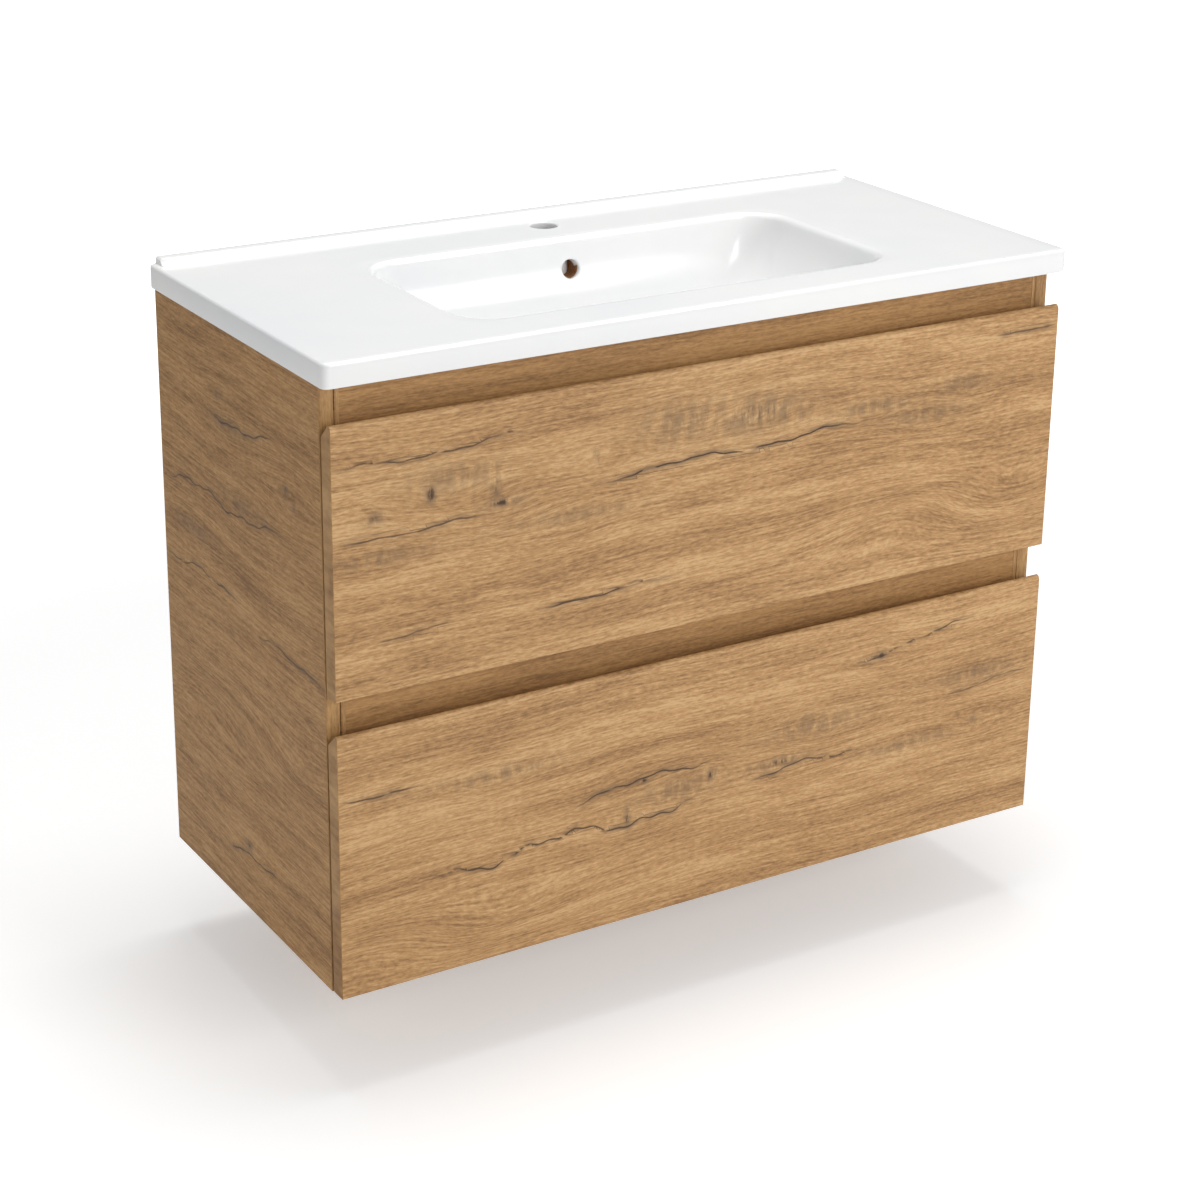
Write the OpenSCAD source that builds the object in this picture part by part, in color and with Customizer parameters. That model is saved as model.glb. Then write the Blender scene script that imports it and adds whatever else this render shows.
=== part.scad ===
// Wall-hung washbasin unit: a one-piece ceramic basin slab on a wooden carcass
// with two full-width drawers on telescopic runners.
// X runs left to right, the wall is the plane Y = 0, the front faces -Y, +Z is up.
// The origin is on the wall, midway between the screw holes of the two wall plates.

/* [Carcass] */
// Width over the two side panels
carcass_w = 1000; // [800:1:1250]
// Depth of the side panels, from the wall to their front edges
carcass_d = 448; // [370:1:560]
// Height of the side panels
carcass_h = 730; // [600:1:900]
// Thickness of the side, bottom and grip boards
panel_t = 18; // [16:0.5:22]
// Thickness of the two rear rails
rear_rail_t = 16; // [14:0.5:20]
// Height of the upper rear rail
rear_top_rail_h = 120; // [100:1:150]
// Height of the lower rear rail
rear_bottom_rail_h = 100; // [70:1:120]
// Shadow gap at each end of a grip rail
grip_rail_gap = 0.8; // [0.4:0.1:2]

/* [Drawer fronts] */
// Thickness of a drawer front
front_t = 22; // [20:0.5:30]
// Gap between the carcass and the back of a closed drawer front
front_gap = 4; // [2:0.5:8]
// Height of the upper drawer front's face
upper_front_h = 314; // [250:1:380]
// Finger gap between the basin and the upper front
grip_gap_top = 45; // [35:1:60]
// Finger gap between the two fronts
grip_gap_middle = 46; // [35:1:60]
// Height of the lower front's bottom edge above the carcass underside
front_foot = 2; // [0:0.5:6]
// How far a grip rail runs on behind a front
grip_cover = 25; // [15:1:35]
// Rise of the grip crest above the face of a front
crest_rise = 3.5; // [2:0.5:6]
// Distance from the face of a front to its grip crest
crest_back = 5.5; // [4:0.5:8]
// Drop of the finger bevel from the crest to the back of a front
bevel_drop = 15.5; // [10:0.5:20]

/* [Drawer boxes] */
// Thickness of drawer sides and backs
drawer_side_t = 15; // [12:0.5:16]
// Thickness of drawer bottoms
drawer_bottom_t = 10; // [8:0.5:16]
// Gap between the back of a closed drawer and the wall
drawer_rear_gap = 42; // [30:1:70]
// Free height between the basin bowl and the upper drawer box
under_bowl_gap = 52; // [20:1:70]
// Free height between the middle grip rail and the lower drawer box
lower_head_gap = 58; // [20:1:90]
// Half the width of the trap cut-out in the upper drawer
trap_half_w = 110; // [80:1:150]
// Distance the trap cut-out reaches past the middle of the drain
trap_reach = 53; // [45:1:60]
// Thickness of the boards around the trap cut-out
trap_wall_t = 12; // [8:0.5:16]

/* [Runners] */
// Width of a fixed runner rail, from the side panel inwards
runner_w = 40; // [38:0.5:44]
// Height of the web of a fixed runner rail
runner_web_h = 34; // [32:0.5:40]
// Sheet thickness of the runner parts
runner_t = 1.5; // [1.2:0.1:1.8]
// Running gap between the sliding runner parts
runner_gap = 0.3; // [0.3:0.05:0.5]
// Height of the upstanding lip on a fixed runner rail
runner_lip_h = 8; // [5:0.5:10]
// Height of the middle slide profile
slide_h = 12.2; // [11:0.1:13]
// Width of the middle slide profile
slide_w = 26; // [22:0.5:27]
// Distance the runner starts behind the carcass front edge
runner_front_inset = 8; // [4:0.5:20]
// Length still held when a drawer is fully open
runner_hold = 20; // [15:1:60]
// Height of the lower runner base above the bottom board
lower_runner_rise = 8; // [4:0.5:20]
// Height of the upper runner base above the middle grip rail
upper_runner_rise = 6; // [4:0.5:20]

/* [Basin] */
// Basin overhang past each side panel
slab_side_over = 7; // [3:0.5:15]
// Basin overhang past the drawer fronts
slab_front_over = 1; // [0:0.5:10]
// Height of the visible edge of the basin
slab_t = 29; // [24:0.5:40]
// Thickness of the ceramic deck and bowl
ceramic_t = 12; // [10:0.5:14]
// Width of the rim that stands on the carcass
rim_w = 24; // [20:0.5:30]
// Plan radius of the basin corners
slab_corner_r = 9; // [4:0.5:14]
// Height of the upstand along the wall
upstand_h = 8; // [5:0.5:20]
// Depth of the upstand along the wall
upstand_d = 18; // [12:0.5:24]
// Width of the bowl at the deck
bowl_w = 600; // [450:1:640]
// Deck between the wall and the bowl
bowl_rear_deck = 122; // [112:1:135]
// Deck between the bowl and the front edge
bowl_front_deck = 62; // [50:1:80]
// Depth of the bowl below the deck
bowl_depth = 127; // [100:1:140]
// Plan radius of the bowl corners at the deck
bowl_corner_r = 58; // [40:1:70]
// Radius of the tap hole
tap_hole_r = 17.5; // [16:0.5:18]
// Distance from the wall to the middle of the tap hole
tap_y = 62; // [50:1:75]
// Radius of the drain hole
drain_r = 23; // [21:0.5:23]
// Length of the drain bore
drain_len = 32; // [25:0.5:45]
// Radius of the overflow hole
overflow_r = 12; // [10:0.5:13]
// Depth of the overflow hole below the deck
overflow_drop = 41; // [36:0.5:46]
// Radius of the water way inside the overflow pipe
overflow_pipe_r = 7; // [5:0.5:8]

/* [Wall hanging] */
// Height from the screw pattern's middle up to the top of the carcass
hang_drop = 55; // [50:1:60]
// Distance between the two screw holes of one wall plate
plate_hole_pitch = 30; // [26:1:34]
// Radius of the screw holes in the wall plates
plate_hole_r = 3.25; // [2.5:0.05:4]
// Width of a wall plate
plate_w = 36; // [30:0.5:38]
// Thickness of a wall plate
plate_t = 3; // [2:0.25:3]
// Depth of a hanger housing
hanger_d = 56; // [40:1:70]
// Width of a hanger housing
hanger_w = 18; // [14:0.5:24]

/* [Fixings] */
// Radius of the wooden dowels
dowel_r = 4; // [3:0.25:5]
// Length of the wooden dowels
dowel_len = 24; // [20:1:30]
// Radius of the screw shanks
screw_r = 1.75; // [1.5:0.05:2]
// Radius of the screw heads
screw_head_r = 3.5; // [3:0.1:4]
// Length of the screws in the wood
screw_len = 11; // [8:0.5:13]
// Radius of the rubber stops behind the fronts
bumper_r = 4; // [3:0.25:6]

/* [Hidden] */
$fn = 48;
// Facets on the pieces that are blended with hull
blend_fn = 32;
// General clearance between pieces that pass each other
pass_gap = 0.3;
// Radial clearance around a dowel or a screw in its hole
fix_gap = 0.1;
// Length by which a cut runs past the face that it opens
cut_over = 1;

oak = "#BE935F";
oak_dark = "#8F6C48";
drawer_wood = "#C9B08A";
steel = "#B9BCC0";
ceramic_white = "#F2F2F0";
rubber_clear = "#D9DADB";
dowel_wood = "#D8BE94";

// Side panels
inner_x = carcass_w / 2 - panel_t;
carcass_z = -(carcass_h - hang_drop);
carcass_top = hang_drop;

// Fronts, in Y and Z
front_back_y = -(carcass_d + front_gap);
front_face_y = front_back_y - front_t;
lower_front_z = carcass_z + front_foot;
upper_front_top = carcass_top - grip_gap_top;
upper_front_z = upper_front_top - upper_front_h;
lower_front_top = upper_front_z - grip_gap_middle;
lower_front_h = lower_front_top - lower_front_z;
crest_steps = 6;

// Grip rails
middle_rail_z = lower_front_top - grip_cover;
middle_rail_h = grip_gap_middle + 2 * grip_cover;
top_rail_z = upper_front_top - grip_cover;
top_rail_h = carcass_top - top_rail_z;
grip_rail_len = 2 * (inner_x - grip_rail_gap);

// Rear rails
rear_top_rail_z = carcass_top - rear_top_rail_h;
rear_bottom_rail_z = carcass_z + panel_t;
hanger_notch_w = plate_w + 10;
plate_low = plate_hole_pitch / 2 + 10;
rear_tab_h = rear_top_rail_h - carcass_top - plate_low - 3;

// Runners: distances are taken inwards from the inner face of a side panel
slide_x = 8;
carrier_wrap = slide_x - runner_t - 2.5;
carrier_w = runner_w - 2 * runner_t + 1 - carrier_wrap;
slide_z = runner_t + runner_gap;
carrier_top = slide_z + slide_h + runner_gap + runner_t;
runner_front_y = -(carcass_d - runner_front_inset);
runner_rear_y = -(drawer_rear_gap - 2);
runner_len = runner_rear_y - runner_front_y;
runner_travel = runner_len - runner_hold;
slide_end_gap = 5;
slide_len = runner_len - 2 * slide_end_gap;
lower_runner_z = carcass_z + panel_t + lower_runner_rise;
upper_runner_z = middle_rail_z + middle_rail_h + upper_runner_rise;

// Basin
slab_w = carcass_w + 2 * slab_side_over;
slab_front_y = front_face_y - slab_front_over;
slab_d = -slab_front_y;
slab_top = carcass_top + slab_t;
pocket_h = slab_t - ceramic_t;
bowl_d = slab_d - bowl_rear_deck - bowl_front_deck;
bowl_y = -(bowl_rear_deck + bowl_d / 2);
bowl_floor_z = slab_top - bowl_depth;
bowl_under_z = bowl_floor_z - ceramic_t;
drain_z = bowl_floor_z - drain_len;
drain_horn_r = drain_r + 11;
overflow_z = slab_top - overflow_drop;
overflow_boss_r = overflow_r + 6;
overflow_pipe_wall = 5;
overflow_pipe_y = -(bowl_rear_deck - 24);
overflow_foot_z = drain_z + overflow_pipe_r + overflow_pipe_wall;
layer_t = 0.02;

// Drawer boxes
drawer_side_x = inner_x - 6;
drawer_inner_x = drawer_side_x - drawer_side_t;
drawer_rear_y = -drawer_rear_gap;
drawer_len = drawer_rear_y - front_back_y;
lower_box_z = lower_runner_z + carrier_top;
upper_box_z = upper_runner_z + carrier_top;
lower_side_h = middle_rail_z - lower_head_gap - lower_box_z;
upper_side_h = bowl_under_z - under_bowl_gap - upper_box_z;
trap_front_y = bowl_y - trap_reach;

// Front brackets
bracket_t = 2;
bracket_arm = 30;
bracket_h = 60;
bracket_rise = drawer_bottom_t + 5;
bracket_hole_in = 18;
screw_head_h = 1.8;

// Rubber stops
bumper_h = front_gap - pass_gap;
bumper_inset = 30;

// Wall plates and hangers
plate_x = inner_x - 21;
plate_high = plate_hole_pitch / 2 + 22;
lip_z = plate_hole_pitch / 2 + 10;
lip_y = 12;
lip_t = 2.5;
lip_up = 9;
hanger_low = plate_low - 5;
hanger_high = plate_high + 8;
hanger_wall = 2;

// Middles of the dowels at one end of each board, as [y, z]
dowel_inset = 60;
grip_dowel_y = -(carcass_d - panel_t / 2);
rear_dowel_y = -rear_rail_t / 2;
edge_dowel = 15;
dowel_points = [
    [-dowel_inset, carcass_z + panel_t / 2],
    [-(carcass_d - dowel_inset), carcass_z + panel_t / 2],
    [grip_dowel_y, top_rail_z + edge_dowel],
    [grip_dowel_y, top_rail_z + top_rail_h - edge_dowel],
    [grip_dowel_y, middle_rail_z + edge_dowel],
    [grip_dowel_y, middle_rail_z + middle_rail_h - edge_dowel],
    [rear_dowel_y, rear_top_rail_z + 10],
    [rear_dowel_y, rear_top_rail_z + rear_tab_h - 10],
    [rear_dowel_y, rear_bottom_rail_z + edge_dowel],
    [rear_dowel_y, rear_bottom_rail_z + rear_bottom_rail_h - edge_dowel]
];

// Middles of the screws that hold a runner rail, as distances along the rail
runner_screw_inset = 40;
runner_screw_z = runner_web_h - 8;
runner_screw_y = [
    runner_front_y + runner_screw_inset,
    (runner_front_y + runner_rear_y) / 2,
    runner_rear_y - runner_screw_inset
];
hanger_screw_y = [-rear_rail_t - 14, -rear_rail_t - hanger_d + 14];

// ---- Shared shapes -------------------------------------------------------

// Draws its children on the right and, mirrored, on the left.
module both_sides() {
    children();
    mirror([1, 0, 0]) children();
}

// A box given by its low corner and its high corner.
module block(low, high) {
    translate(low) cube(high - low);
}

// A rectangle centred on the origin with round corners.
module round_rect(w, d, r) {
    square([w - 2 * r, d], center = true);
    square([w, d - 2 * r], center = true);
    for (sx = [-1, 1], sy = [-1, 1])
        translate([sx * (w / 2 - r), sy * (d / 2 - r)]) circle(r);
}

// A cylinder along +X from the point given.
module rod_x(start, r, len) {
    translate(start) rotate([0, 90, 0]) cylinder(r = r, h = len);
}

// A cylinder along -Y from the point given.
module rod_y(start, r, len) {
    translate(start) rotate([90, 0, 0]) cylinder(r = r, h = len);
}

// The dowels of one side; grow widens and lengthens them into their holes.
module side_dowels(grow) {
    for (p = dowel_points)
        rod_x([inner_x - dowel_len / 2 - grow, p[0], p[1]],
            dowel_r - fix_gap + grow, dowel_len + 2 * grow);
}

module dowel_holes() {
    both_sides() side_dowels(fix_gap);
}

// A screw whose head sits on the plane X = 0 and whose shank runs along +X.
module screw() {
    rod_x([-screw_head_h, 0, 0], screw_head_r, screw_head_h);
    rod_x([0, 0, 0], screw_r, screw_len + runner_t);
}

// The hole that a screw's shank goes into, from the plane X = 0 along +X.
module screw_hole() {
    rod_x([-cut_over, 0, 0], screw_r + fix_gap, screw_len + runner_t + cut_over + fix_gap);
}

// Puts its children at each screw of a runner rail on the right.
module at_rail_screws() {
    for (z = [lower_runner_z, upper_runner_z], y = runner_screw_y)
        translate([inner_x - runner_t, y, z + runner_screw_z]) children();
}

// Puts its children at each screw of the hanger on the right.
module at_hanger_screws() {
    for (y = hanger_screw_y)
        translate([inner_x - hanger_wall, y, 0]) children();
}

// ---- Carcass -------------------------------------------------------------

module side_panel() {
    difference() {
        block([inner_x, -carcass_d, carcass_z], [carcass_w / 2, 0, carcass_top]);
        side_dowels(fix_gap);
        at_rail_screws() screw_hole();
        at_hanger_screws() screw_hole();
    }
}

module side_panel_left() {
    color(oak_dark) mirror([1, 0, 0]) side_panel();
}

module side_panel_right() {
    color(oak_dark) side_panel();
}

module bottom_panel() {
    color(oak_dark) difference() {
        block([-inner_x, -carcass_d, carcass_z], [inner_x, 0, carcass_z + panel_t]);
        dowel_holes();
    }
}

// A board between the side panels, flush with their front edges.
module grip_rail(z, h) {
    color(oak) difference() {
        block([-grip_rail_len / 2, -carcass_d, z],
            [grip_rail_len / 2, -carcass_d + panel_t, z + h]);
        dowel_holes();
    }
}

module top_grip_rail() {
    grip_rail(top_rail_z, top_rail_h);
}

module middle_grip_rail() {
    grip_rail(middle_rail_z, middle_rail_h);
}

// The upper rear rail leaves each top corner free for a wall plate.
module rear_top_rail() {
    color(oak_dark) difference() {
        block([-inner_x, -rear_rail_t, rear_top_rail_z], [inner_x, 0, carcass_top]);
        both_sides() block(
            [inner_x - hanger_notch_w, -rear_rail_t - cut_over, rear_top_rail_z + rear_tab_h],
            [inner_x + cut_over, cut_over, carcass_top + cut_over]);
        dowel_holes();
    }
}

module rear_bottom_rail() {
    color(oak_dark) difference() {
        block([-inner_x, -rear_rail_t, rear_bottom_rail_z],
            [inner_x, 0, rear_bottom_rail_z + rear_bottom_rail_h]);
        dowel_holes();
    }
}

module panel_dowels() {
    color(dowel_wood) both_sides() side_dowels(0);
}

// ---- Wall hanging --------------------------------------------------------

// A plate screwed to the wall, with a shelf and an upturned lip for the hook.
module wall_plate() {
    low_x = plate_x - plate_w / 2;
    high_x = plate_x + plate_w / 2;
    color(steel) difference() {
        union() {
            block([low_x, -plate_t, -plate_low], [high_x, 0, plate_high]);
            block([low_x, -lip_y, lip_z], [high_x, -plate_t, lip_z + plate_t]);
            block([low_x, -lip_y, lip_z], [high_x, -lip_y + lip_t, lip_z + plate_t + lip_up]);
        }
        for (z = [-plate_hole_pitch / 2, plate_hole_pitch / 2])
            rod_y([plate_x, cut_over, z], plate_hole_r, plate_t + 2 * cut_over);
    }
}

module wall_plate_left() {
    mirror([1, 0, 0]) wall_plate();
}

module wall_plate_right() {
    wall_plate();
}

// A housing on the side panel with a hook that hangs on the wall plate's lip.
module hanger() {
    hook_x = inner_x - hanger_w;
    hook_low = lip_z + plate_t + pass_gap;
    hook_top = lip_z + plate_t + lip_up + pass_gap;
    color(steel) difference() {
        union() {
            difference() {
                block([hook_x, -rear_rail_t - hanger_d, -hanger_low],
                    [inner_x, -rear_rail_t, hanger_high]);
                block([hook_x - cut_over, -rear_rail_t - hanger_d + hanger_wall,
                    -hanger_low + hanger_wall],
                    [inner_x - hanger_wall, -rear_rail_t - hanger_wall,
                    hanger_high - hanger_wall]);
            }
            block([hook_x, -rear_rail_t - hanger_wall, hook_top],
                [inner_x - hanger_wall, -plate_t - pass_gap, hook_top + 4]);
            block([hook_x, -lip_y + lip_t + pass_gap, hook_low],
                [inner_x - hanger_wall, -plate_t - pass_gap, hook_top]);
        }
        at_hanger_screws() screw_hole();
    }
}

module hanger_left() {
    mirror([1, 0, 0]) hanger();
}

module hanger_right() {
    hanger();
}

module hanger_screws() {
    color(steel) both_sides() at_hanger_screws() screw();
}

// ---- Basin ---------------------------------------------------------------

// One thin layer of the bowl, inset from its outline at the deck.
module bowl_layer(z, inset, r) {
    translate([0, bowl_y, z]) linear_extrude(layer_t)
        round_rect(bowl_w - 2 * inset, bowl_d - 2 * inset, r, $fn = blend_fn);
}

// The bowl, grown outwards and downwards by the wall thickness given.
module bowl_body(wall, top_z) {
    hull() {
        bowl_layer(top_z - layer_t, -wall, bowl_corner_r + wall);
        bowl_layer(bowl_floor_z + bowl_depth * 0.45 - wall, 16 - wall, bowl_corner_r + wall);
        bowl_layer(bowl_floor_z + bowl_depth * 0.12 - wall, 48 - wall, bowl_corner_r + wall);
        bowl_layer(bowl_floor_z - wall, 84 - wall, bowl_corner_r - 4);
    }
}

// The basin slab with its rim, hollow underneath, and the upstand at the wall.
module basin_slab() {
    difference() {
        translate([0, -slab_d / 2, carcass_top]) linear_extrude(slab_t)
            round_rect(slab_w, slab_d, slab_corner_r);
        block([-slab_w / 2 + rim_w, -slab_d + rim_w, carcass_top - cut_over],
            [slab_w / 2 - rim_w, -rim_w, carcass_top + pocket_h]);
    }
    block([-slab_w / 2 + slab_corner_r, -upstand_d, slab_top - cut_over],
        [slab_w / 2 - slab_corner_r, 0, slab_top + upstand_h]);
}

// The cast water way from the overflow hole down to the drain.
module overflow_way(r_pipe, r_hole, hole_len) {
    translate([0, overflow_pipe_y, overflow_foot_z])
        cylinder(r = r_pipe, h = overflow_z - overflow_foot_z + overflow_r);
    translate([0, overflow_pipe_y, overflow_foot_z]) sphere(r_pipe);
    rod_y([0, overflow_pipe_y, overflow_foot_z], r_pipe, -bowl_y + overflow_pipe_y);
    rod_y([0, overflow_pipe_y, overflow_z], r_hole, hole_len);
}

module basin() {
    color(ceramic_white) difference() {
        union() {
            basin_slab();
            bowl_body(ceramic_t, slab_top - 1);
            translate([0, bowl_y, drain_z]) cylinder(r = drain_horn_r, h = drain_len);
            overflow_way(overflow_pipe_r + overflow_pipe_wall, overflow_boss_r,
                bowl_rear_deck + overflow_pipe_y);
        }
        bowl_body(0, slab_top + cut_over);
        translate([0, bowl_y, drain_z - cut_over])
            cylinder(r = drain_r, h = drain_len + 2 * cut_over);
        translate([0, -tap_y, carcass_top]) cylinder(r = tap_hole_r, h = slab_t + cut_over);
        overflow_way(overflow_pipe_r, overflow_r, 2 * (bowl_rear_deck + overflow_pipe_y));
    }
}

// ---- Runners -------------------------------------------------------------

// Extrudes a profile drawn as [distance from the side panel, height] along Y.
module along_runner(rear_y, len, z) {
    translate([inner_x, rear_y, z]) rotate([90, 0, 0]) linear_extrude(len)
        mirror([1, 0]) children();
}

// The rail screwed to a side panel: a web, a floor and a small lip.
module runner_rail(z) {
    color(steel) difference() {
        along_runner(runner_rear_y, runner_len, z) union() {
            square([runner_t, runner_web_h]);
            square([runner_w, runner_t]);
            translate([runner_w - runner_t, 0]) square([runner_t, runner_lip_h]);
        }
        at_rail_screws() screw_hole();
    }
}

// An inverted channel, used for the middle slide and for the drawer's carrier.
module channel(w, h) {
    difference() {
        square([w, h]);
        translate([runner_t, -cut_over]) square([w - 2 * runner_t, h - runner_t + cut_over]);
    }
}

module runner_slide(z) {
    color(steel) along_runner(runner_rear_y - slide_end_gap, slide_len, z + slide_z)
        translate([slide_x, 0]) channel(slide_w, slide_h);
}

module runner_carrier(z) {
    low = runner_t * 2;
    color(steel) along_runner(runner_rear_y - slide_end_gap,
        runner_rear_y - slide_end_gap - front_back_y - 1, z + low)
        translate([carrier_wrap, 0]) channel(carrier_w, carrier_top - low);
}

module rail_upper_left() {
    mirror([1, 0, 0]) runner_rail(upper_runner_z);
}

module rail_upper_right() {
    runner_rail(upper_runner_z);
}

module rail_lower_left() {
    mirror([1, 0, 0]) runner_rail(lower_runner_z);
}

module rail_lower_right() {
    runner_rail(lower_runner_z);
}

module rail_screws() {
    color(steel) both_sides() at_rail_screws() screw();
}

module slide_upper_left() {
    mirror([1, 0, 0]) runner_slide(upper_runner_z);
}

module slide_upper_right() {
    runner_slide(upper_runner_z);
}

module slide_lower_left() {
    mirror([1, 0, 0]) runner_slide(lower_runner_z);
}

module slide_lower_right() {
    runner_slide(lower_runner_z);
}

module carrier_upper_left() {
    mirror([1, 0, 0]) runner_carrier(upper_runner_z);
}

module carrier_upper_right() {
    runner_carrier(upper_runner_z);
}

module carrier_lower_left() {
    mirror([1, 0, 0]) runner_carrier(lower_runner_z);
}

module carrier_lower_right() {
    runner_carrier(lower_runner_z);
}

// ---- Drawers -------------------------------------------------------------

// The outline of a front seen from its end, as [distance behind the face, height].
// The face rolls over an arc to the grip crest, then a bevel falls to the back.
function front_outline(h) = concat(
    [[0, 0]],
    [for (i = [0 : crest_steps])
        let (a = 90 * i / crest_steps)
        [crest_back * (1 - cos(a)), h + crest_rise - crest_back * (1 - sin(a))]],
    [[front_t, h + crest_rise - bevel_drop], [front_t, 0]]
);

// Puts its children at each screw of the drawer's right bracket: two go into
// the drawer side, along +X, and two into the front, along -Y.
module at_bracket_screws(z) {
    for (up = [-1, 1])
        translate([0, 0, z + bracket_rise + bracket_h / 2 + up * bracket_h / 4]) {
            translate([drawer_inner_x - bracket_t, front_back_y + bracket_hole_in, 0])
                children();
            translate([drawer_inner_x - bracket_hole_in, front_back_y + bracket_t, 0])
                rotate([0, 0, -90]) children();
        }
}

module drawer_front(z, h, box_z) {
    color(oak) difference() {
        translate([-carcass_w / 2, front_face_y, z]) rotate([90, 0, 90])
            linear_extrude(carcass_w) polygon(front_outline(h));
        both_sides() at_bracket_screws(box_z) screw_hole();
    }
}

module drawer_side(z, h) {
    color(drawer_wood) difference() {
        block([drawer_inner_x, front_back_y, z], [drawer_side_x, drawer_rear_y, z + h]);
        at_bracket_screws(z) screw_hole();
    }
}

// A back board between the X values given.
module drawer_back(low_x, high_x, z, h) {
    color(drawer_wood) block([low_x, drawer_rear_y - drawer_side_t, z],
        [high_x, drawer_rear_y, z + h]);
}

module drawer_floor(z) {
    block([-drawer_inner_x, front_back_y, z],
        [drawer_inner_x, drawer_rear_y - drawer_side_t, z + drawer_bottom_t]);
}

// The angle bracket between the drawer's right side and its front.
module bracket(z) {
    difference() {
        union() {
            block([drawer_inner_x - bracket_t, front_back_y, z + bracket_rise],
                [drawer_inner_x, front_back_y + bracket_arm, z + bracket_rise + bracket_h]);
            block([drawer_inner_x - bracket_arm, front_back_y, z + bracket_rise],
                [drawer_inner_x, front_back_y + bracket_t, z + bracket_rise + bracket_h]);
        }
        at_bracket_screws(z) screw_hole();
    }
}

module drawer_brackets(z) {
    color(steel) both_sides() bracket(z);
}

module drawer_screws(z) {
    color(steel) both_sides() at_bracket_screws(z) screw();
}

// Four rubber stops on the back of a front, level with the side panels' edges.
module drawer_stops(z, h) {
    color(rubber_clear) both_sides() for (zz = [z + bumper_inset, z + h - bumper_inset])
        rod_y([inner_x + panel_t / 2, front_back_y + bumper_h, zz], bumper_r, bumper_h);
}

module upper_front() {
    drawer_front(upper_front_z, upper_front_h, upper_box_z);
}

module upper_side_left() {
    mirror([1, 0, 0]) drawer_side(upper_box_z, upper_side_h);
}

module upper_side_right() {
    drawer_side(upper_box_z, upper_side_h);
}

// The upper drawer's bottom is cut out behind for the trap.
module upper_bottom() {
    color(drawer_wood) difference() {
        drawer_floor(upper_box_z);
        block([-trap_half_w, trap_front_y, upper_box_z - cut_over],
            [trap_half_w, 0, upper_box_z + drawer_bottom_t + cut_over]);
    }
}

module upper_back_left() {
    mirror([1, 0, 0]) upper_back_right();
}

module upper_back_right() {
    drawer_back(trap_half_w + trap_wall_t, drawer_inner_x, upper_box_z, upper_side_h);
}

module trap_wall() {
    color(drawer_wood) block([trap_half_w, trap_front_y, upper_box_z + drawer_bottom_t],
        [trap_half_w + trap_wall_t, drawer_rear_y, upper_box_z + upper_side_h]);
}

module trap_wall_left() {
    mirror([1, 0, 0]) trap_wall();
}

module trap_wall_right() {
    trap_wall();
}

module trap_wall_front() {
    half_w = trap_half_w + trap_wall_t;
    color(drawer_wood) block(
        [-half_w, trap_front_y - trap_wall_t, upper_box_z + drawer_bottom_t],
        [half_w, trap_front_y, upper_box_z + upper_side_h]);
}

module upper_brackets() {
    drawer_brackets(upper_box_z);
}

module upper_front_screws() {
    drawer_screws(upper_box_z);
}

module upper_stops() {
    drawer_stops(upper_front_z, upper_front_h);
}

module lower_front() {
    drawer_front(lower_front_z, lower_front_h, lower_box_z);
}

module lower_side_left() {
    mirror([1, 0, 0]) drawer_side(lower_box_z, lower_side_h);
}

module lower_side_right() {
    drawer_side(lower_box_z, lower_side_h);
}

module lower_bottom() {
    color(drawer_wood) drawer_floor(lower_box_z);
}

module lower_back() {
    drawer_back(-drawer_inner_x, drawer_inner_x, lower_box_z, lower_side_h);
}

module lower_brackets() {
    drawer_brackets(lower_box_z);
}

module lower_front_screws() {
    drawer_screws(lower_box_z);
}

module lower_stops() {
    drawer_stops(lower_front_z, lower_front_h);
}

side_panel_left();
side_panel_right();
bottom_panel();
top_grip_rail();
middle_grip_rail();
rear_top_rail();
rear_bottom_rail();
panel_dowels();
wall_plate_left();
wall_plate_right();
hanger_left();
hanger_right();
hanger_screws();
basin();
rail_upper_left();
rail_upper_right();
rail_lower_left();
rail_lower_right();
rail_screws();
slide_upper_left();
slide_upper_right();
slide_lower_left();
slide_lower_right();
carrier_upper_left();
carrier_upper_right();
carrier_lower_left();
carrier_lower_right();
upper_front();
upper_side_left();
upper_side_right();
upper_bottom();
upper_back_left();
upper_back_right();
trap_wall_left();
trap_wall_right();
trap_wall_front();
upper_brackets();
upper_front_screws();
upper_stops();
lower_front();
lower_side_left();
lower_side_right();
lower_bottom();
lower_back();
lower_brackets();
lower_front_screws();
lower_stops();
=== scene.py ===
"""Ceramic washbasin on a wall-hung oak cabinet with two handleless drawers.

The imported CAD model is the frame. The fronts, the side panels and the basin are
new surfaces made around it; the runners, hangers and drawer boxes keep their CAD
shape and are dressed with materials.
"""

import logging
from dataclasses import dataclass, field
from enum import Enum
from math import cos, pi, sin
from typing import Any, Optional, Sequence

import bpy
import numpy as np
from mathutils import Matrix, Vector


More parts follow.
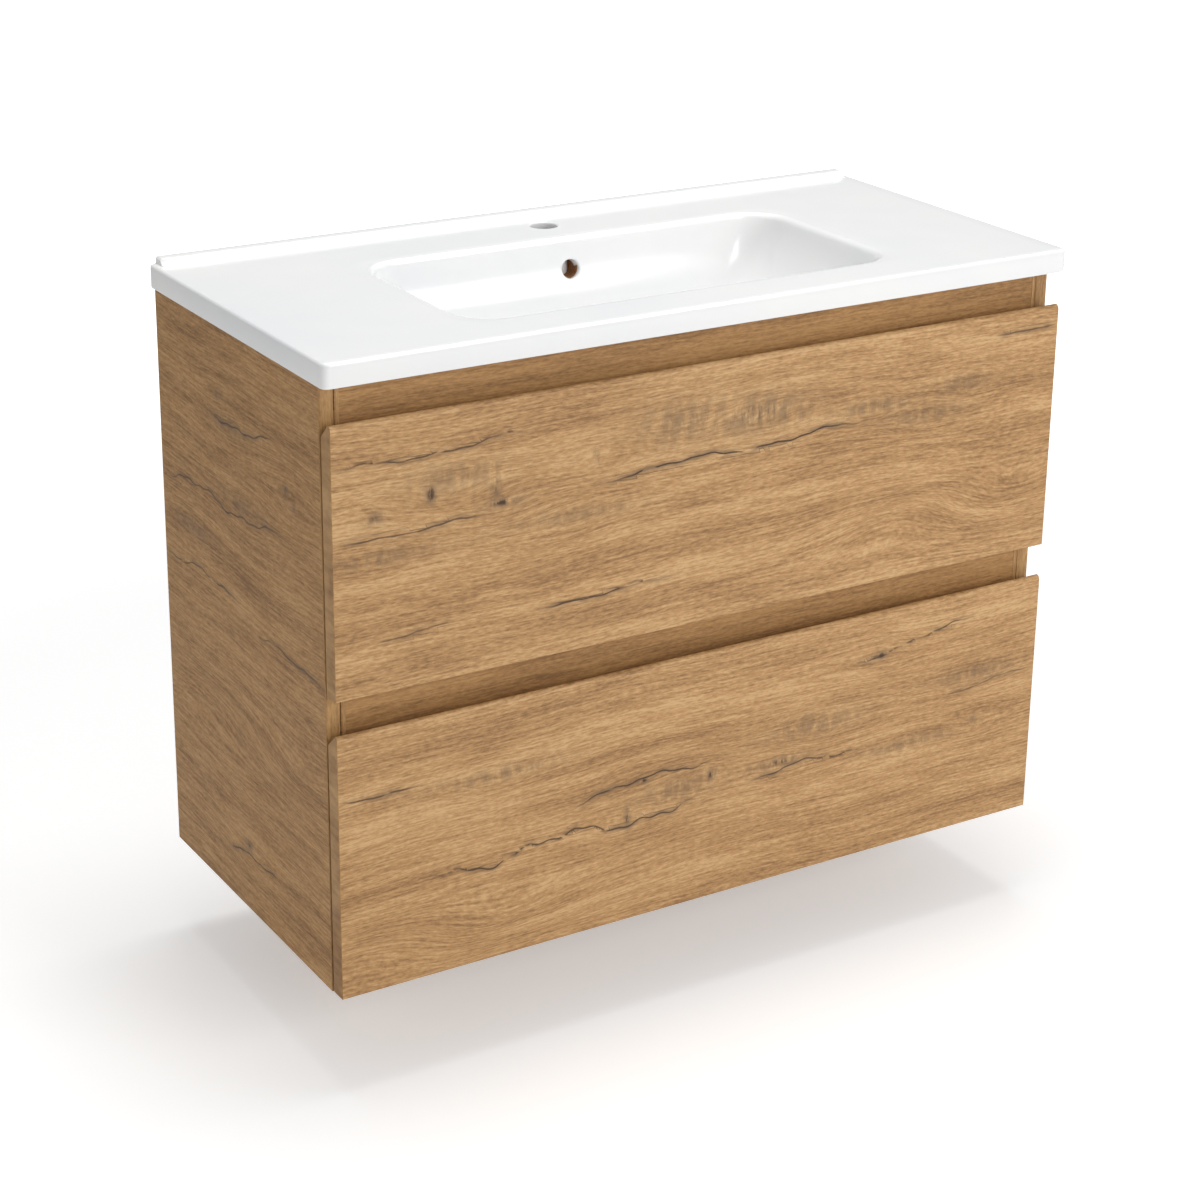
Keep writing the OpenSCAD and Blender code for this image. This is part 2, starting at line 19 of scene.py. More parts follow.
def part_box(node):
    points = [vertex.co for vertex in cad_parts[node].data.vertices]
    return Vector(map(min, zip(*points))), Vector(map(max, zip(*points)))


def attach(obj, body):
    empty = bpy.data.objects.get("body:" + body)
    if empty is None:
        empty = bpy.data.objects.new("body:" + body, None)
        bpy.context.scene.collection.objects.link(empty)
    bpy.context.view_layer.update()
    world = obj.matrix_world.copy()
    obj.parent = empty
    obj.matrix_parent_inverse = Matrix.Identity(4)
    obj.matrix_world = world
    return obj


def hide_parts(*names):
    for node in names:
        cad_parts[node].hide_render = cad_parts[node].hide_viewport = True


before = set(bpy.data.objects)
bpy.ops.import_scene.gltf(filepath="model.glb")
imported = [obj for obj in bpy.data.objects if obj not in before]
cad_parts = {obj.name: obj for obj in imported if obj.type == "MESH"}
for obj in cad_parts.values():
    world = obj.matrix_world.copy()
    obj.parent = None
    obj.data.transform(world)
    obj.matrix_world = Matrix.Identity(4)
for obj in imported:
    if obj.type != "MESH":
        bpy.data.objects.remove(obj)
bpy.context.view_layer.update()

LOG = logging.getLogger("vanity")
MM = 0.001


# ---------------------------------------------------------------- colour and nodes

def linear(code: str) -> tuple[float, float, float, float]:
    """Turns an sRGB hex colour to linear RGBA.

    Args:
        code: six hex digits, with or without a leading #.
    Returns:
        Linear red, green, blue and an alpha of 1.
    """
    digits = code.lstrip("#")
    parts = np.array([int(digits[i:i + 2], 16) for i in (0, 2, 4)]) / 255.0
    low = parts / 12.92
    high = ((parts + 0.055) / 1.055) ** 2.4
    red, green, blue = np.where(parts <= 0.04045, low, high)
    return (float(red), float(green), float(blue), 1.0)


def add(tree: bpy.types.NodeTree, kind: str, settings: Optional[dict[str, Any]] = None,
        links: Optional[dict[Any, Any]] = None) -> bpy.types.Node:
    """Adds one node with its settings and its incoming links.

    Args:
        tree: the node tree that takes the node.
        kind: the node's type without the "ShaderNode" prefix.
        settings: node properties, or input values by socket name.
        links: input socket name or number to the output socket that feeds it.
    Returns:
        The new node.
    """
    made = tree.nodes.new("ShaderNode" + kind)
    for key, value in (settings or {}).items():
        if hasattr(made, key):
            setattr(made, key, value)
        else:
            made.inputs[key].default_value = value
    for key, source in (links or {}).items():
        tree.links.new(source, made.inputs[key])
    return made


def ramp(tree: bpy.types.NodeTree, source: Any,
         stops: Sequence[tuple[float, str]]) -> Any:
    """Adds a colour ramp.

    Args:
        tree: the node tree.
        source: the output socket that drives the ramp.
        stops: pairs of position and sRGB hex colour, in rising order.
    Returns:
        The ramp's colour output.
    """
    made = add(tree, "ValToRGB", links={"Fac": source})
    elements = made.color_ramp.elements
    while len(elements) < len(stops):
        elements.new(0.5)
    for element, (place, code) in zip(elements, stops):
        element.position = place
        element.color = linear(code)
    return made.outputs["Color"]


def step_range(tree: bpy.types.NodeTree, source: Any, low: float, high: float,
               start: float = 0.0, end: float = 1.0) -> Any:
    """Maps low..high to start..end with a smooth step and clamps it.

    Args:
        tree: the node tree.
        source: the value to map.
        low: the value that gives start.
        high: the value that gives end.
        start: result at low.
        end: result at high.
    Returns:
        The mapped output socket.
    """
    made = add(tree, "MapRange", {"interpolation_type": "SMOOTHSTEP", "From Min": low,
                                  "From Max": high, "To Min": start, "To Max": end},
               {"Value": source})
    return made.outputs["Result"]


def math(tree: bpy.types.NodeTree, operation: str, first: Any, second: Any) -> Any:
    """Adds a two-input math node; each input is a socket or a number.

    Args:
        tree: the node tree.
        operation: the math operation's name.
        first: first operand.
        second: second operand.
    Returns:
        The result socket.
    """
    made = add(tree, "Math", {"operation": operation})
    for slot, value in enumerate((first, second)):
        if isinstance(value, (int, float)):
            made.inputs[slot].default_value = value
        else:
            tree.links.new(value, made.inputs[slot])
    return made.outputs[0]


def blend_colour(tree: bpy.types.NodeTree, amount: Any, base: Any, over: Any) -> Any:
    """Mixes two colours; over may be a socket or a hex colour.

    Args:
        tree: the node tree.
        amount: socket with the share of the second colour.
        base: socket with the first colour.
        over: second colour.
    Returns:
        The mixed colour socket.
    """
    made = add(tree, "Mix", {"data_type": "RGBA"})
    tree.links.new(amount, made.inputs[0])
    tree.links.new(base, made.inputs[6])
    if isinstance(over, str):
        made.inputs[7].default_value = linear(over)
    else:
        tree.links.new(over, made.inputs[7])
    return made.outputs[2]


def stretched_noise(tree: bpy.types.NodeTree, vector: Any, size_mm: tuple[float, float, float],
                    detail: float = 3.0, roughness: float = 0.55) -> Any:
    """Noise whose features have a real size along each axis.

    Args:
        tree: the node tree.
        vector: coordinates in metres.
        size_mm: feature size along each coordinate.
        detail: octaves.
        roughness: how strong the finer octaves are.
    Returns:
        The noise's Fac output, about 0.5 on average.
    """
    scale = Vector([1.0 / (size * MM) for size in size_mm])
    placed = add(tree, "Mapping", {"Scale": scale}, {"Vector": vector})
    made = add(tree, "TexNoise", {"Scale": 1.0, "Detail": detail, "Roughness": roughness},
               {"Vector": placed.outputs[0]})
    return made.outputs["Fac"]


def new_material(name: str) -> tuple[bpy.types.Material, bpy.types.NodeTree, bpy.types.Node]:
    """Starts a node material.

    Args:
        name: the material's name.
    Returns:
        The material, its node tree and its Principled shader.
    """
    material = bpy.data.materials.new(name)
    material.use_nodes = True
    tree = material.node_tree
    return material, tree, tree.nodes["Principled BSDF"]


# ---------------------------------------------------------------- finishes

class GrainRun(Enum):
    """Which way the grain runs, as the Object axes along, across and through it.

    FIGURED boards take their coordinates from the mesh's own attribute instead.
    """

    ALONG_X = ("X", "Z", "Y")
    ALONG_Z = ("Z", "X", "Y")
    FIGURED = ()


@dataclass(frozen=True)
class OakDecor:
    """Oak-decor melamine board: printed paper pressed on chipboard between textured
    plates, so it is matt, with short dark pores sunk a little below the fibres.

    A FIGURED board reads the "grain" and "marks" attributes of its mesh. Pores are
    really 0.2 mm wide and are drawn at about 1 mm, the finest that shows.
    """

    name: str
    run: GrainRun
    dark: str = "#8C6741"
    middle: str = "#B78D5D"
    light: str = "#CFA877"
    crack: str = "#46301D"
    smudge: str = "#776046"
    roughness: float = 0.55

    def vector(self, tree: bpy.types.NodeTree) -> Any:
        """Coordinates ordered along, across and through the grain.

        Args:
            tree: the node tree.
        Returns:
            A vector socket, in metres.
        """
        if self.run is GrainRun.FIGURED:
            return add(tree, "Attribute", {"attribute_name": "grain"}).outputs["Vector"]
        place = add(tree, "TexCoord").outputs["Object"]
        axes = add(tree, "SeparateXYZ", links={0: place})
        along, across, through = self.run.value
        order = {"X": axes.outputs[along], "Y": axes.outputs[across], "Z": axes.outputs[through]}
        return add(tree, "CombineXYZ", links=order).outputs[0]

    def marks(self, tree: bpy.types.NodeTree, vector: Any, colour: Any) -> tuple[Any, Any]:
        """Lays cracks, their smudges and the knots over the grain.

        Args:
            tree: the node tree.
            vector: grain coordinates.
            colour: the plain grain's colour.
        Returns:
            The marked colour and how deep the surface is cracked, 0 to 1.
        """
        marks = add(tree, "Attribute", {"attribute_name": "marks"}).outputs["Vector"]
        parts = add(tree, "SeparateXYZ", links={0: marks})
        jitter = stretched_noise(tree, vector, (16, 6, 50), 5, 0.6)
        offset = math(tree, "MULTIPLY", math(tree, "SUBTRACT", jitter, 0.5), 2.2)
        distance = math(tree, "ABSOLUTE", math(tree, "ADD", parts.outputs[0], offset), 0.0)
        breaks = step_range(tree, stretched_noise(tree, vector, (40, 14, 50), 2), 0.30, 0.42)
        strength = math(tree, "MULTIPLY", parts.outputs[1], breaks)
        line = math(tree, "MULTIPLY", step_range(tree, distance, 0.35, 1.6, 1, 0), strength)
        soft = math(tree, "MULTIPLY", step_range(tree, distance, 0.0, 8.0, 0.8, 0),
                    parts.outputs[1])
        patch = step_range(tree, stretched_noise(tree, vector, (40, 9, 50), 4), 0.34, 0.60)
        haze = math(tree, "MULTIPLY", soft, patch)
        speck = step_range(tree, stretched_noise(tree, vector, (11, 22, 50), 5, 0.62), 0.33, 0.60)
        knot = math(tree, "MULTIPLY", parts.outputs[2], speck)
        colour = blend_colour(tree, haze, colour, self.smudge)
        colour = blend_colour(tree, knot, colour, self.smudge)
        heart = step_range(tree, knot, 0.62, 0.95)
        colour = blend_colour(tree, heart, colour, self.crack)
        colour = blend_colour(tree, line, colour, self.crack)
        return colour, math(tree, "MAXIMUM", line, heart)

    def make(self) -> bpy.types.Material:
        """Builds the material."""
        material, tree, shader = new_material(self.name)
        vector = self.vector(tree)
        bands = stretched_noise(tree, vector, (330, 30, 400), 3, 0.55)
        fibre = stretched_noise(tree, vector, (52, 2.6, 60), 4, 0.62)
        ripple = stretched_noise(tree, vector, (9, 2.4, 40), 3, 0.6)
        tone = math(tree, "ADD", math(tree, "MULTIPLY", bands, 0.30),
                    math(tree, "MULTIPLY", fibre, 0.38))
        tone = math(tree, "ADD", tone, math(tree, "MULTIPLY", ripple, 0.32))
        colour = ramp(tree, tone, [(0.385, self.dark), (0.50, self.middle), (0.60, self.light)])
        pores = stretched_noise(tree, vector, (13, 1.0, 20), 2, 0.5)
        pore = step_range(tree, pores, 0.56, 0.70)
        colour = blend_colour(tree, math(tree, "MULTIPLY", pore, 0.34), colour, self.dark)
        depth = math(tree, "MULTIPLY", pore, 0.5)
        if self.run is GrainRun.FIGURED:
            colour, cracked = self.marks(tree, vector, colour)
            depth = math(tree, "ADD", depth, cracked)
        height = math(tree, "SUBTRACT", math(tree, "MULTIPLY", fibre, 0.5), depth)
        bump = add(tree, "Bump", {"Strength": 0.30, "Distance": 0.0004}, {"Height": height})
        rough = step_range(tree, fibre, 0.3, 0.7, self.roughness + 0.06, self.roughness - 0.05)
        tree.links.new(colour, shader.inputs["Base Color"])
        tree.links.new(rough, shader.inputs["Roughness"])
        tree.links.new(bump.outputs[0], shader.inputs["Normal"])
        shader.inputs["IOR"].default_value = 1.5
        shader.inputs["Specular IOR Level"].default_value = 0.35
        return material


@dataclass(frozen=True)
class GlazedChina:
    """Vitreous china under a fired glaze: cool white, smooth and glossy, with the very
    slow waviness that a sprayed glaze keeps."""

    name: str = "glazed_vitreous_china"
    white: str = "#F1F1F0"
    cool: str = "#ECEDEE"

    def make(self) -> bpy.types.Material:
        """Builds the material."""
        material, tree, shader = new_material(self.name)
        place = add(tree, "TexCoord").outputs["Object"]
        cloud = stretched_noise(tree, place, (180, 180, 180), 2)
        wave = stretched_noise(tree, place, (60, 60, 60), 1)
        tree.links.new(ramp(tree, cloud, [(0.3, self.cool), (0.7, self.white)]),
                       shader.inputs["Base Color"])
        bump = add(tree, "Bump", {"Strength": 0.05, "Distance": 0.0006}, {"Height": wave})
        tree.links.new(bump.outputs[0], shader.inputs["Normal"])
        tree.links.new(step_range(tree, cloud, 0.3, 0.7, 0.12, 0.17), shader.inputs["Roughness"])
        shader.inputs["IOR"].default_value = 1.52
        return material


@dataclass(frozen=True)
class Speckled:
    """A matt surface with fine specks: raw fired clay, or textile-print melamine."""

    name: str
    base: str
    speck: str
    grain_mm: tuple[float, float, float]
    roughness: float

    def make(self) -> bpy.types.Material:
        """Builds the material."""
        material, tree, shader = new_material(self.name)
        place = add(tree, "TexCoord").outputs["Object"]
        grit = stretched_noise(tree, place, self.grain_mm, 4, 0.6)
        tree.links.new(ramp(tree, grit, [(0.35, self.speck), (0.6, self.base)]),
                       shader.inputs["Base Color"])
        bump = add(tree, "Bump", {"Strength": 0.2, "Distance": 0.0003}, {"Height": grit})
        tree.links.new(bump.outputs[0], shader.inputs["Normal"])
        shader.inputs["Roughness"].default_value = self.roughness
        return material


@dataclass(frozen=True)
class ZincSteel:
    """Bright zinc-plated rolled steel: a cool grey metal with faint rolling streaks
    along the runner and slight spangle in its gloss."""

    name: str = "zinc_plated_steel"
    light: str = "#C9CCCE"
    dull: str = "#A9ADB0"

    def make(self) -> bpy.types.Material:
        """Builds the material."""
        material, tree, shader = new_material(self.name)
        place = add(tree, "TexCoord").outputs["Object"]
        streak = stretched_noise(tree, place, (0.9, 60, 0.9), 3)
        spangle = stretched_noise(tree, place, (7, 7, 7), 2)
        tree.links.new(ramp(tree, spangle, [(0.35, self.dull), (0.65, self.light)]),
                       shader.inputs["Base Color"])
        tree.links.new(step_range(tree, streak, 0.3, 0.7, 0.28, 0.44), shader.inputs["Roughness"])
        bump = add(tree, "Bump", {"Strength": 0.12, "Distance": 0.0002}, {"Height": streak})
        tree.links.new(bump.outputs[0], shader.inputs["Normal"])
        shader.inputs["Metallic"].default_value = 1.0
        return material


@dataclass(frozen=True)
class ClearRubber:
    """Moulded clear polyurethane buffer: soft, slightly cloudy and half see-through."""

    name: str = "clear_polyurethane"
    tint: str = "#D9DAD4"

    def make(self) -> bpy.types.Material:
        """Builds the material."""
        material, tree, shader = new_material(self.name)
        place = add(tree, "TexCoord").outputs["Object"]
        haze = stretched_noise(tree, place, (3, 3, 3), 2)
        tree.links.new(ramp(tree, haze, [(0.3, "#C9CAC2"), (0.7, self.tint)]),
                       shader.inputs["Base Color"])
        tree.links.new(step_range(tree, haze, 0.3, 0.7, 0.25, 0.4), shader.inputs["Roughness"])
        shader.inputs["Transmission Weight"].default_value = 0.4
        shader.inputs["IOR"].default_value = 1.5
        return material


@dataclass
class Finishes:
    """Every material of the unit, made once."""

    front: bpy.types.Material = field(default_factory=lambda: OakDecor(
        "oak_decor_front", GrainRun.FIGURED).make())
    # The side decor is the front's oak in darker tones: painted shade for the sides, which face
    # away from the key lamp.
    side: bpy.types.Material = field(default_factory=lambda: OakDecor(
        "oak_decor_side_painted_shade", GrainRun.FIGURED, "#845E38", "#AA804E", "#C09661").make())
    edge: bpy.types.Material = field(default_factory=lambda: OakDecor(
        "oak_edge_band", GrainRun.ALONG_Z, "#8A6540", "#A98253", "#BD9561").make())
    # The carcass decor is the front's oak in darker tones: painted shade for the grip rails in
    # their recesses.
    carcass: bpy.types.Material = field(default_factory=lambda: OakDecor(
        "oak_decor_carcass_painted_shade", GrainRun.ALONG_X, "#83603A", "#A67C4C", "#B98F5B").make())
    drawer: bpy.types.Material = field(default_factory=lambda: Speckled(
        "textile_print_melamine", "#B9B1A4", "#A79F92", (9, 1.5, 1.5), 0.6).make())
    china: bpy.types.Material = field(default_factory=lambda: GlazedChina().make())
    clay: bpy.types.Material = field(default_factory=lambda: Speckled(
        "unglazed_fired_clay", "#A9774A", "#7C532F", (2, 2, 2), 0.85).make())
    steel: bpy.types.Material = field(default_factory=lambda: ZincSteel().make())
    dowel: bpy.types.Material = field(default_factory=lambda: OakDecor(
        "turned_beech_dowel", GrainRun.ALONG_X, "#C49A6C", "#D6B084", "#E2C29A").make())
    rubber: bpy.types.Material = field(default_factory=lambda: ClearRubber().make())


# ---------------------------------------------------------------- surfaces

def ring_rectangle(half_x: float, half_y: float, radius: float, corner: int = 12,
                   along_x: int = 48, along_y: int = 20) -> np.ndarray:
    """Points round a rounded rectangle, the same number on each stretch whatever its
    size, so that rings of different shapes join corner to corner. A half size equal to
    the radius makes a circle. Each corner is radius * (cos a, sin a) about its centre.

    Args:
        half_x: half the width.
        half_y: half the depth.
        radius: corner radius.
        corner: steps in each corner.
        along_x: steps on each long side.
        along_y: steps on each short side.
    Returns:
        Array of shape (points, 2), anticlockwise.
    """
    flat_x, flat_y = half_x - radius, half_y - radius
    pieces = []
    for turn, (cx, cy) in enumerate(((1, 1), (-1, 1), (-1, -1), (1, -1))):
        a = np.linspace(turn * pi / 2, (turn + 1) * pi / 2, corner, endpoint=False)
        arc = np.stack([cx * flat_x + radius * np.cos(a), cy * flat_y + radius * np.sin(a)], 1)
        steps = along_x if turn % 2 == 0 else along_y
        start = np.array([cx * flat_x, cy * flat_y]) + radius * np.array(
            [cos((turn + 1) * pi / 2), sin((turn + 1) * pi / 2)])
        following = ((-1, 1), (-1, -1), (1, -1), (1, 1))[turn]
        stop = np.array([following[0] * flat_x, following[1] * flat_y]) + radius * np.array(
            [cos((turn + 1) * pi / 2), sin((turn + 1) * pi / 2)])
        t = np.linspace(0, 1, steps, endpoint=False)[:, None]
        pieces += [arc, start + (stop - start) * t]
    return np.concatenate(pieces)


def loft(name: str, rings: np.ndarray, wrap: bool) -> bpy.types.Object:
    """Joins closed rings of points into one closed skin.

    Point (i, j) of ring i meets (i, j+1), (i+1, j+1) and (i+1, j). With wrap the last
    ring joins the first, as on a torus; without it each end is closed by one flat face.
    The skin is turned so that its signed volume is positive, which points it outwards.

    Args:
        name: name of the piece.
        rings: array of shape (rings, points, 3), in metres.
        wrap: whether the last ring joins the first.
    Returns:
        The new object, in the scene.
    """
    count, size, _ = rings.shape
    i = np.arange(count if wrap else count - 1)[:, None]
    j = np.arange(size)[None, :]
    a, b = i * size, ((i + 1) % count) * size
    nxt = (j + 1) % size
    quads = np.stack([a + j, a + nxt, b + nxt, b + j], -1).reshape(-1, 4)
    points = rings.reshape(-1, 3)
    p = points[quads]
    volume = np.einsum("ij,ij->i", p[:, 0], np.cross(p[:, 1], p[:, 2])).sum()
    volume += np.einsum("ij,ij->i", p[:, 0], np.cross(p[:, 2], p[:, 3])).sum()
    faces = quads.tolist()
    if not wrap:
        faces += [list(range(size))[::-1], list(range((count - 1) * size, count * size))]
        for cap in faces[-2:]:
            fan = points[cap]
            volume += np.einsum("ij,ij->i", np.broadcast_to(fan[0], fan[1:-1].shape),
                                np.cross(fan[1:-1], fan[2:])).sum()
    if volume < 0:
        faces = [face[::-1] for face in faces]
    mesh = bpy.data.meshes.new(name)
    mesh.from_pydata(points.tolist(), [], faces)
    mesh.shade_smooth()
    mesh.set_sharp_from_angle(angle=0.6)
    made = bpy.data.objects.new(name, mesh)
    bpy.context.scene.collection.objects.link(made)
    return made


def spaced(first: float, last: float, step: float) -> np.ndarray:
    """Evenly spaced values no further apart than step, both ends included."""
    return np.linspace(first, last, max(2, int(np.ceil(abs(last - first) / step)) + 1))


def carry(section: np.ndarray, stations: np.ndarray, axis: int, ease: float) -> np.ndarray:
    """Carries a closed section along an axis, with its two ends eased.

    The end rings are the section pulled in by ease towards its middle, and the next
    rings, ease further in along the axis, are the full section, which makes a small
    chamfer all round each end.

    Args:
        section: closed outline, shape (points, 2), for the two other axes in order.
        stations: places along the axis, rising.
        axis: 0 to carry along X, 1 along Y.
        ease: size of the chamfer, in metres.
    Returns:
        Rings of shape (stations + 2, points, 3).
    """
    middle = (section.max(0) + section.min(0)) / 2
    half = (section.max(0) - section.min(0)) / 2
    small = middle + (section - middle) * (1 - ease / half)
    places = np.concatenate([[stations[0]], [stations[0] + ease], stations[1:-1],
                             [stations[-1] - ease], [stations[-1]]])
    rings = np.empty((len(places), len(section), 3))
    others = [k for k in range(3) if k != axis]
    for k, column in enumerate(others):
        rings[:, :, column] = section[None, :, k]
        rings[0, :, column] = small[:, k]
        rings[-1, :, column] = small[:, k]
    rings[:, :, axis] = places[:, None]
    return rings


# ---------------------------------------------------------------- wood figure

@dataclass(frozen=True)
class Crack:
    """A drying crack in the printed oak, placed in shares of the board."""

    start: float
    end: float
    height: float
    slope_mm: float = 0.0
    wander_mm: float = 4.0
    strength: float = 1.0


@dataclass(frozen=True)
class Knot:
    """A knot, placed in shares of the board, with its size in millimetres."""

    along: float
    height: float
    long_mm: float
    tall_mm: float
    strength: float = 1.0


@dataclass(frozen=True)
class Figure:
    """The figure of one board: its cracks, its knots and one set of pointed arches."""

    seed: int
    cracks: tuple[Crack, ...]
    knots: tuple[Knot, ...]
    arch_along: float = 0.15
    arch_height: float = 0.2
    arch_reach_mm: float = 170.0

    def lay(self, mesh: bpy.types.Mesh, along: np.ndarray, up: np.ndarray) -> None:
        """Writes the "grain" and "marks" attributes.

        The grain's across value is the height, plus two slow sines along the board,
        pushed aside by each knot as height * exp(-r*r), and drawn out to a point along
        the board inside the arch window, so lines of equal value nest as arches. A
        crack's signed distance is the height above its centre line, which is a straight
        line plus three seeded sines; the nearest crack wins.

        Args:
            mesh: the board's mesh.
            along: distance of each vertex along the grain, from 0, in millimetres.
            up: height of each vertex on the board, from 0, in millimetres.
        """
        rng = np.random.default_rng(self.seed)
        length, height = along.max(), up.max()
        turn = rng.uniform(0, 2 * pi, 4)
        across = up + 4 * np.sin(along / 150 + turn[0])
        across += 1.6 * np.sin(along / 52 + up / 70 + turn[1])
        from_arch = (along - self.arch_along * length) / self.arch_reach_mm
        off_arch = (up - self.arch_height * height) / 34.0
        window = np.exp(-from_arch ** 2 - off_arch ** 2)
        across += 46 * window * np.tanh(from_arch * 1.5)
        dark = np.zeros_like(along)
        for knot in self.knots:
            du = (along - knot.along * length) / knot.long_mm
            dv = (up - knot.height * height) / knot.tall_mm
            near = np.exp(-(du * knot.long_mm / 55) ** 2 - (dv * knot.tall_mm / 24) ** 2)
            across -= 0.45 * near * dv * knot.tall_mm
            dark = np.maximum(dark, knot.strength * np.exp(-du ** 2 - dv ** 2))
        nearest = np.full_like(along, 99.0)
        power = np.zeros_like(along)
        for crack in self.cracks:
            share = (along / length - crack.start) / (crack.end - crack.start)
            centre = crack.height * height + crack.slope_mm * (share - 0.5)
            phase = rng.uniform(0, 2 * pi, 3)
            for wave, (period, size) in enumerate(((210, 1.0), (83, 0.5), (31, 0.22))):
                centre = centre + crack.wander_mm * size * np.sin(
                    2 * pi * along / period + phase[wave])
            distance = up - centre
            taper = np.clip(np.minimum(share, 1 - share) * 6, 0, 1)
            reach = np.clip(1 - np.abs(distance) / 8.0, 0, 1)
            here = crack.strength * taper * np.minimum(1, reach * 3)
            closer = np.abs(distance) < np.abs(nearest)
            nearest = np.where(closer, distance, nearest)
            power = np.where(closer, here, power)
        grain = np.stack([along * MM, across * MM, np.full_like(along, self.seed * 0.37)], 1)
        marks = np.stack([nearest, power, dark], 1)
        for name, values in (("grain", grain), ("marks", marks)):
            made = mesh.attributes.new(name, "FLOAT_VECTOR", "POINT")
            made.data.foreach_set("vector", values.astype(np.float32).ravel())


# Cracks and knots are given one by one, in round shares of each board.
UPPER_FIGURE = Figure(
    seed=3,
    cracks=(Crack(0.32, 0.72, 0.65, 12, 3, 1.0), Crack(0.0, 0.25, 0.85, 10, 3, 0.8),
            Crack(0.0, 0.20, 0.58, 4, 2, 0.8), Crack(0.05, 0.15, 0.20, 2, 2, 0.6),
            Crack(0.25, 0.45, 0.20, 6, 2, 0.9), Crack(0.90, 1.0, 0.92, 2, 1, 0.7)),
    knots=(Knot(0.12, 0.70, 8, 14, 1.0), Knot(0.20, 0.70, 7, 22, 1.0),
           Knot(0.21, 0.62, 24, 6, 1.0), Knot(0.33, 0.72, 5, 10, 1.1),
           Knot(0.05, 0.65, 14, 8, 0.8), Knot(0.15, 0.75, 60, 18, 0.5),
           Knot(0.45, 0.80, 70, 26, 0.6), Knot(0.55, 0.78, 70, 22, 0.8),
           Knot(0.60, 0.75, 20, 10, 0.9), Knot(0.72, 0.72, 60, 9, 0.7),
           Knot(0.80, 0.65, 60, 10, 0.6), Knot(0.85, 0.75, 50, 10, 0.6),
           Knot(0.05, 0.50, 70, 9, 0.6), Knot(0.30, 0.52, 90, 8, 0.5)),
    arch_along=0.85, arch_height=0.25)
LOWER_FIGURE = Figure(
    seed=8,
    cracks=(Crack(0.10, 0.50, 0.40, 10, 7, 0.9), Crack(0.30, 0.50, 0.55, 14, 4, 0.9),
            Crack(0.0, 0.10, 0.75, 4, 2, 0.8), Crack(0.70, 0.90, 0.85, 26, 3, 0.8),
            Crack(0.55, 0.75, 0.45, 8, 4, 0.8), Crack(0.85, 1.0, 0.60, 10, 2, 0.5)),
    knots=(Knot(0.40, 0.55, 14, 5, 1.0), Knot(0.38, 0.42, 5, 17, 1.0),
           Knot(0.50, 0.50, 12, 9, 1.0), Knot(0.60, 0.48, 40, 7, 0.9),
           Knot(0.75, 0.82, 14, 6, 1.0), Knot(0.65, 0.60, 70, 16, 0.6),
           Knot(0.20, 0.72, 90, 9, 0.6), Knot(0.90, 0.65, 60, 10, 0.6),
           Knot(0.45, 0.48, 60, 14, 0.6), Knot(0.80, 0.42, 70, 8, 0.6),
           Knot(0.90, 0.45, 8, 6, 0.9)),
    arch_along=0.12, arch_height=0.15)
SIDE_FIGURE = Figure(
    seed=14,
    cracks=(Crack(0.35, 0.75, 0.85, 14, 4, 0.8), Crack(0.0, 0.80, 0.70, 12, 5, 0.7),
            Crack(0.0, 0.50, 0.55, 10, 4, 0.7), Crack(0.60, 1.0, 0.52, 4, 3, 0.7),
            Crack(0.35, 0.70, 0.10, 18, 3, 0.8)),
    knots=(Knot(0.40, 0.88, 12, 7, 0.8), Knot(0.85, 0.78, 6, 9, 0.8),
           Knot(0.80, 0.80, 9, 5, 0.9), Knot(0.50, 0.12, 12, 6, 0.9),
           Knot(0.20, 0.62, 60, 10, 0.6), Knot(0.55, 0.72, 70, 10, 0.5),
           Knot(0.45, 0.84, 50, 10, 0.6)),
    arch_along=0.55, arch_height=0.33, arch_reach_mm=230.0)


def paint_ends(piece: bpy.types.Object, axis: int, face: bpy.types.Material,
               edge: bpy.types.Material) -> None:
    """Gives a board its face material, and the edge band where it faces along axis.

    Args:
        piece: the board.
        axis: the axis that the banded edges face.
        face: material of the faces.
        edge: material of the banded edges.
    """
    mesh = piece.data
    mesh.materials.append(face)
    mesh.materials.append(edge)
    normals = np.empty(len(mesh.polygons) * 3, np.float32)
    mesh.polygons.foreach_get("normal", normals)
    banded = np.abs(normals.reshape(-1, 3)[:, axis]) > 0.6
    mesh.polygons.foreach_set("material_index", banded.astype(np.int32))


def place_piece(piece: bpy.types.Object, body: str, slot: str, *replaced: str) -> None:
    """Rides a finished piece on its body and hides the CAD nodes that it stands for.

    Args:
        piece: the finished piece.
        body: the CAD body that carries it.
        slot: not used.
        replaced: CAD nodes that the piece stands for.
    """
    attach(piece, body)
    if replaced:
        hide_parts(*replaced)
    LOG.info("%s rides on %s: %d faces", piece.name, body, len(piece.data.polygons))


